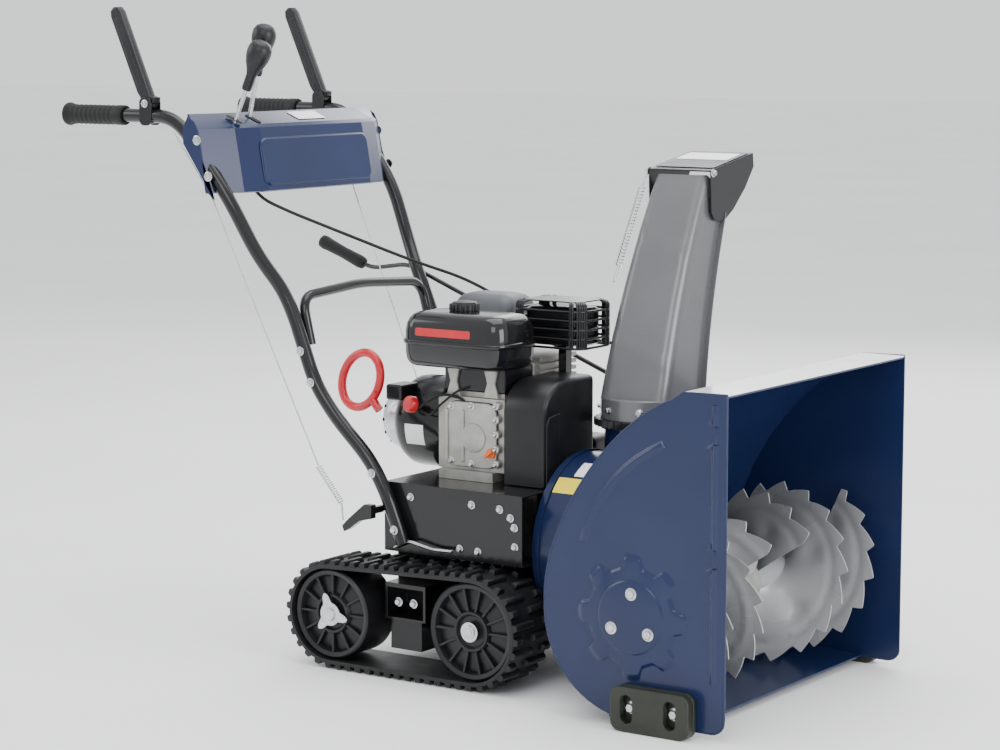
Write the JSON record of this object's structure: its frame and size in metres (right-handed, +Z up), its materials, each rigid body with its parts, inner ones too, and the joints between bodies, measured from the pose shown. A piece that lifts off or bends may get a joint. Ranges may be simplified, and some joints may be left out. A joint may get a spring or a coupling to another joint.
{
  "type": "two-stage snow blower",
  "caption": "Walk-behind two-stage snow blower with rubber tracks, toothed auger in a blue housing, impeller, turning chute with tilting deflector, petrol engine and handlebars.",
  "frame": {"origin": "on the ground under the centre of the bounding box", "axes": "+X forward, out of the auger housing's mouth; +Y to the operator's left; +Z up"},
  "size_m": [1.423, 0.672, 1.1486],
  "materials": {
    "blue_paint": "gloss powder coat",
    "black_paint": "gloss paint",
    "grey_paint": "satin grey paint",
    "cast_aluminium": "as cast",
    "steel": "zinc plated",
    "rubber": "matte",
    "black_plastic": "moulded",
    "shoe_plastic": "moulded",
    "red_plastic": "moulded",
    "orange_plastic": "moulded"
  },
  "bodies": {
    "frame": {"side_plate_left": "blue_paint", "side_plate_right": "blue_paint", "auger_housing": "blue_paint", "impeller_drum": "blue_paint", "skid_shoe_left": "shoe_plastic", "skid_shoe_right": "shoe_plastic", "gear_case": "cast_aluminium", "handlebar_left": "black_paint", "handlebar_right": "black_paint", "cross_brace": "black_paint", "grip_left": "rubber", "grip_right": "rubber", "control_panel": "blue_paint", "clutch_cable_left": "steel", "clutch_cable_right": "steel", "deflector_cable": "rubber", "track_band_left": "rubber", "track_band_right": "rubber", "track_frame_left": "black_paint", "track_frame_right": "black_paint", "chassis": "black_paint", "auger_belt": "rubber", "engine_block": "cast_aluminium", "blower_shroud": "black_paint", "recoil_cover": "steel", "fuel_tank": "black_paint", "air_cleaner": "black_plastic", "muffler": "black_paint", "belt_cover": "black_plastic"},
    "auger": {"auger_shaft": "steel", "auger_left": "grey_paint", "auger_right": "grey_paint"},
    "impeller": {"impeller_shaft": "steel", "impeller": "grey_paint", "impeller_pulley": "steel"},
    "engine_shaft": {"crankshaft": "steel"},
    "chute": {"chute": "grey_paint", "chute_gear": "black_plastic", "deflector_spring": "steel"},
    "deflector": {"deflector": "black_plastic"},
    "crank": {"chute_crank": "steel"},
    "lever_left": {"clutch_lever_left": "black_plastic"},
    "lever_right": {"clutch_lever_right": "black_plastic"},
    "arm_left": {"clutch_arm_left": "black_paint"},
    "arm_right": {"clutch_arm_right": "black_paint"},
    "deflector_control": {"deflector_lever": "black_plastic"},
    "shifter": {"shift_lever": "black_plastic"},
    "drive_wheels": {"drive_axle": "steel", "drive_wheel_left": "black_plastic", "drive_wheel_right": "black_plastic"},
    "idler_wheels": {"idler_axle": "steel", "idler_wheel_left": "black_plastic", "idler_wheel_right": "black_plastic"},
    "disc": {"friction_disc": "cast_aluminium"},
    "hex": {"hex_shaft": "steel"},
    "roller": {"friction_wheel": "rubber"},
    "starter": {"starter_handle": "red_plastic"},
    "stop": {"stop_knob": "red_plastic"},
    "tank_cap": {"fuel_cap": "black_plastic"},
    "oil_filler": {"oil_plug": "orange_plastic"}
  },
  "joints": [
    {"name": "auger_spin", "type": "hinge", "parent": "frame", "child": "auger", "pos_m": [0.54, 0, 0.181], "axis": [0, 1, 0], "continuous": true},
    {"name": "impeller_spin", "type": "hinge", "parent": "frame", "child": "impeller", "pos_m": [0.3, 0, 0.229], "axis": [1, 0, 0], "continuous": true},
    {"name": "engine_spin", "type": "hinge", "parent": "frame", "child": "engine_shaft", "pos_m": [0.1, 0, 0.408], "axis": [1, 0, 0], "continuous": true},
    {"name": "chute_turn", "type": "hinge", "parent": "frame", "child": "chute", "pos_m": [0.33, 0.08, 0.45], "axis": [0, 0, 1], "range_deg": [-190, 5]},
    {"name": "deflector_tilt", "type": "hinge", "parent": "chute", "child": "deflector", "pos_m": [0.33, 0.189, 0.861], "axis": [1, 0, 0], "range_deg": [-40, 0], "deforming": ["deflector_spring"]},
    {"name": "crank_turn", "type": "hinge", "parent": "frame", "child": "crank", "pos_m": [0.303, 0.19, 0.44599], "axis": [0.9365, -0.0534, -0.3465], "range_deg": [-50, 1715]},
    {"name": "lever_left_squeeze", "type": "hinge", "parent": "frame", "child": "lever_left", "pos_m": [-0.514, 0.249, 0.977], "axis": [0, 1, 0], "range_deg": [-50, 0], "stiffness_Nm_per_rad": 0.6, "springref_deg": 28.65},
    {"name": "lever_right_squeeze", "type": "hinge", "parent": "frame", "child": "lever_right", "pos_m": [-0.514, -0.249, 0.977], "axis": [0, 1, 0], "range_deg": [-50, 0], "stiffness_Nm_per_rad": 0.6, "springref_deg": 28.65},
    {"name": "arm_left_swing", "type": "hinge", "parent": "frame", "child": "arm_left", "pos_m": [-0.056, 0.1, 0.28], "axis": [0, 1, 0], "range_deg": [0, 20]},
    {"name": "arm_right_swing", "type": "hinge", "parent": "frame", "child": "arm_right", "pos_m": [-0.048, -0.22, 0.28], "axis": [0, 1, 0], "range_deg": [0, 20]},
    {"name": "deflector_lever_swing", "type": "hinge", "parent": "frame", "child": "deflector_control", "pos_m": [-0.392, -0.137, 0.89], "axis": [0, 1, 0], "range_deg": [-30, 0]},
    {"name": "shift_lever_swing", "type": "hinge", "parent": "frame", "child": "shifter", "pos_m": [-0.392, -0.19, 0.89], "axis": [0, 1, 0], "range_deg": [-45, 5]},
    {"name": "drive_spin", "type": "hinge", "parent": "frame", "child": "drive_wheels", "pos_m": [0.187, 0, 0.102], "axis": [0, 1, 0], "continuous": true},
    {"name": "idler_spin", "type": "hinge", "parent": "frame", "child": "idler_wheels", "pos_m": [-0.109, 0, 0.097], "axis": [0, 1, 0], "continuous": true},
    {"name": "disc_spin", "type": "hinge", "parent": "frame", "child": "disc", "pos_m": [0.14, 0, 0.229], "axis": [1, 0, 0], "continuous": true},
    {"name": "hex_spin", "type": "hinge", "parent": "frame", "child": "hex", "pos_m": [0.066, 0, 0.225], "axis": [0, 1, 0], "continuous": true},
    {"name": "roller_slide", "type": "slide", "parent": "hex", "child": "roller", "axis": [0, 1, 0], "range_m": [-0.08, 0.01]},
    {"name": "starter_pull", "type": "slide", "parent": "frame", "child": "starter", "axis": [-0.8661, -0.2, 0.4581], "range_m": [0, 0.4], "stiffness_N_per_m": 10},
    {"name": "stop_pull", "type": "slide", "parent": "frame", "child": "stop", "axis": [-0.282, -0.9408, 0.188], "range_m": [0, 0.012]},
    {"name": "cap_turn", "type": "hinge", "parent": "frame", "child": "tank_cap", "pos_m": [0.042, -0.062, 0.62], "axis": [0, 0, 1], "range_deg": [0, 120]},
    {"name": "plug_turn", "type": "hinge", "parent": "frame", "child": "oil_filler", "pos_m": [0.122, -0.095, 0.38], "axis": [0, -1, 0], "range_deg": [0, 360]}
  ],
  "couplings": [
    {"joint": "impeller_spin", "follows": "auger_spin", "ratio": 10},
    {"joint": "engine_spin", "follows": "auger_spin", "ratio": 20.56},
    {"joint": "crank_turn", "follows": "chute_turn", "ratio": -9},
    {"joint": "arm_left_swing", "follows": "lever_left_squeeze", "ratio": -0.4},
    {"joint": "arm_right_swing", "follows": "lever_right_squeeze", "ratio": -0.4},
    {"joint": "deflector_tilt", "follows": "deflector_lever_swing", "ratio": 1.3333},
    {"joint": "idler_spin", "follows": "drive_spin", "ratio": 1.0617},
    {"joint": "hex_spin", "follows": "drive_spin", "ratio": 3},
    {"joint": "roller_slide", "follows": "shift_lever_swing", "m_per_rad": 0.1}
  ]
}
